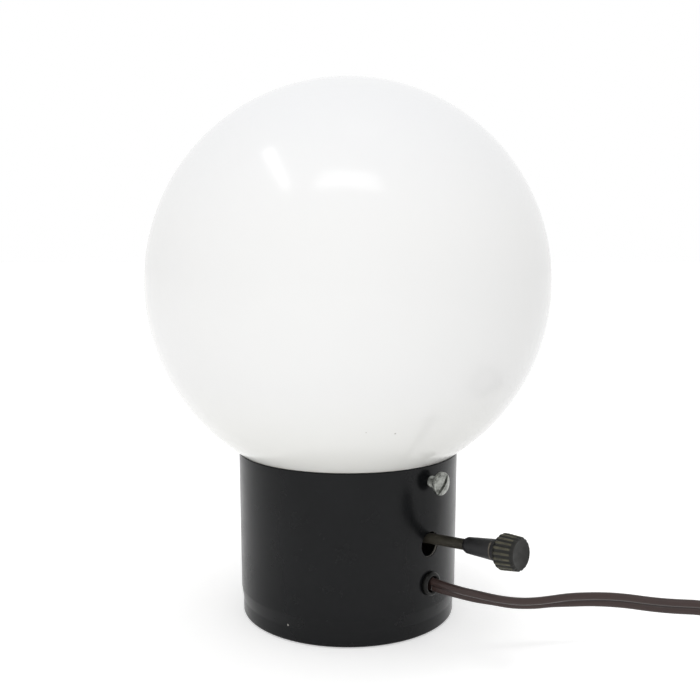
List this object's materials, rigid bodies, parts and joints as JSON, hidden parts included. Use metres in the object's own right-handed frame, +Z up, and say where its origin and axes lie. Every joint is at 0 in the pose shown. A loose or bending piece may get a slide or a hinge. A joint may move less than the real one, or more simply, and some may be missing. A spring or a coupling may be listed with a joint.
{
  "type": "glass globe table lamp",
  "caption": "Small table lamp: white glass globe standing in a black metal cup base, held by a slotted side screw, with a knob on a slender rotary switch shaft and a flat brown cord with plug.",
  "frame": {"origin": "centre of the flat felt face that the lamp stands on", "axes": "+Z up through the middle of the base and globe; +X towards the side with the clamp screw, switch knob and cord; the two sides along Y are alike but for the cord"},
  "size_m": [0.2584, 0.2471, 0.2032],
  "materials": {
    "opal_glass": "white opal glass, glossy",
    "black_enamel": "semi-gloss black enamel on steel",
    "felt": "matt felt",
    "plain_steel": "zinc plated steel",
    "bright_steel": "bright steel",
    "brass": "brass",
    "phenolic": "moulded black phenolic",
    "bronzed_brass": "tarnished bronze-brown brass",
    "black_collar": "black",
    "knob_brown": "aged dark brown phenolic",
    "bulb_glass": "frosted glass",
    "clear_glass": "clear glass",
    "bulb_metal": "plain aluminium",
    "solder": "dull solder",
    "black_glass": "black glass insulator",
    "tungsten": "dark wire",
    "black_bushing": "black nylon",
    "brown_cord": "dark brown rubber",
    "lead_insulation": "black insulation"
  },
  "bodies": {
    "base": {"base_shell": "black_enamel", "felt_pad": "felt", "globe_seat": "black_enamel", "socket_strap": "plain_steel", "strap_rivets": "plain_steel", "threaded_nipple": "brass", "strap_nut": "brass", "socket_washer": "plain_steel", "socket_body": "phenolic", "screw_shell": "brass", "centre_contact": "brass", "terminal_plates": "brass", "terminal_screws": "brass", "switch_bush": "brass", "cord_bushing": "black_bushing", "inner_cord": "brown_cord", "lead_wires": "lead_insulation", "cord_run": "brown_cord", "cord_coil": "brown_cord", "cord_tail": "brown_cord", "plug_body": "brown_cord", "plug_blades": "brass"},
    "globe": {"glass_globe": "opal_glass"},
    "clamp": {"clamp_screw": "bright_steel"},
    "bulb": {"bulb_tip": "solder", "bulb_insulator": "black_glass", "bulb_base": "bulb_metal", "bulb_glass": "bulb_glass", "bulb_mount": "clear_glass", "filament": "tungsten"},
    "switch": {"switch_rotor": "phenolic", "switch_shaft": "bronzed_brass", "shaft_collar": "black_collar", "switch_knob": "knob_brown"}
  },
  "joints": [
    {"name": "globe_lift", "type": "slide", "parent": "base", "child": "globe", "axis": [0, 0, 1], "range_m": [0, 0.115]},
    {"name": "clamp_travel", "type": "slide", "parent": "base", "child": "clamp", "axis": [1, 0, 0], "range_m": [-0.0029, 0.001]},
    {"name": "bulb_out", "type": "slide", "parent": "base", "child": "bulb", "axis": [0, 0, 1], "range_m": [0, 0.025]},
    {"name": "switch_turn", "type": "hinge", "parent": "base", "child": "switch", "pos_m": [0, 0, 0.03261], "axis": [0.9962, 0, 0.0872], "continuous": true}
  ]
}
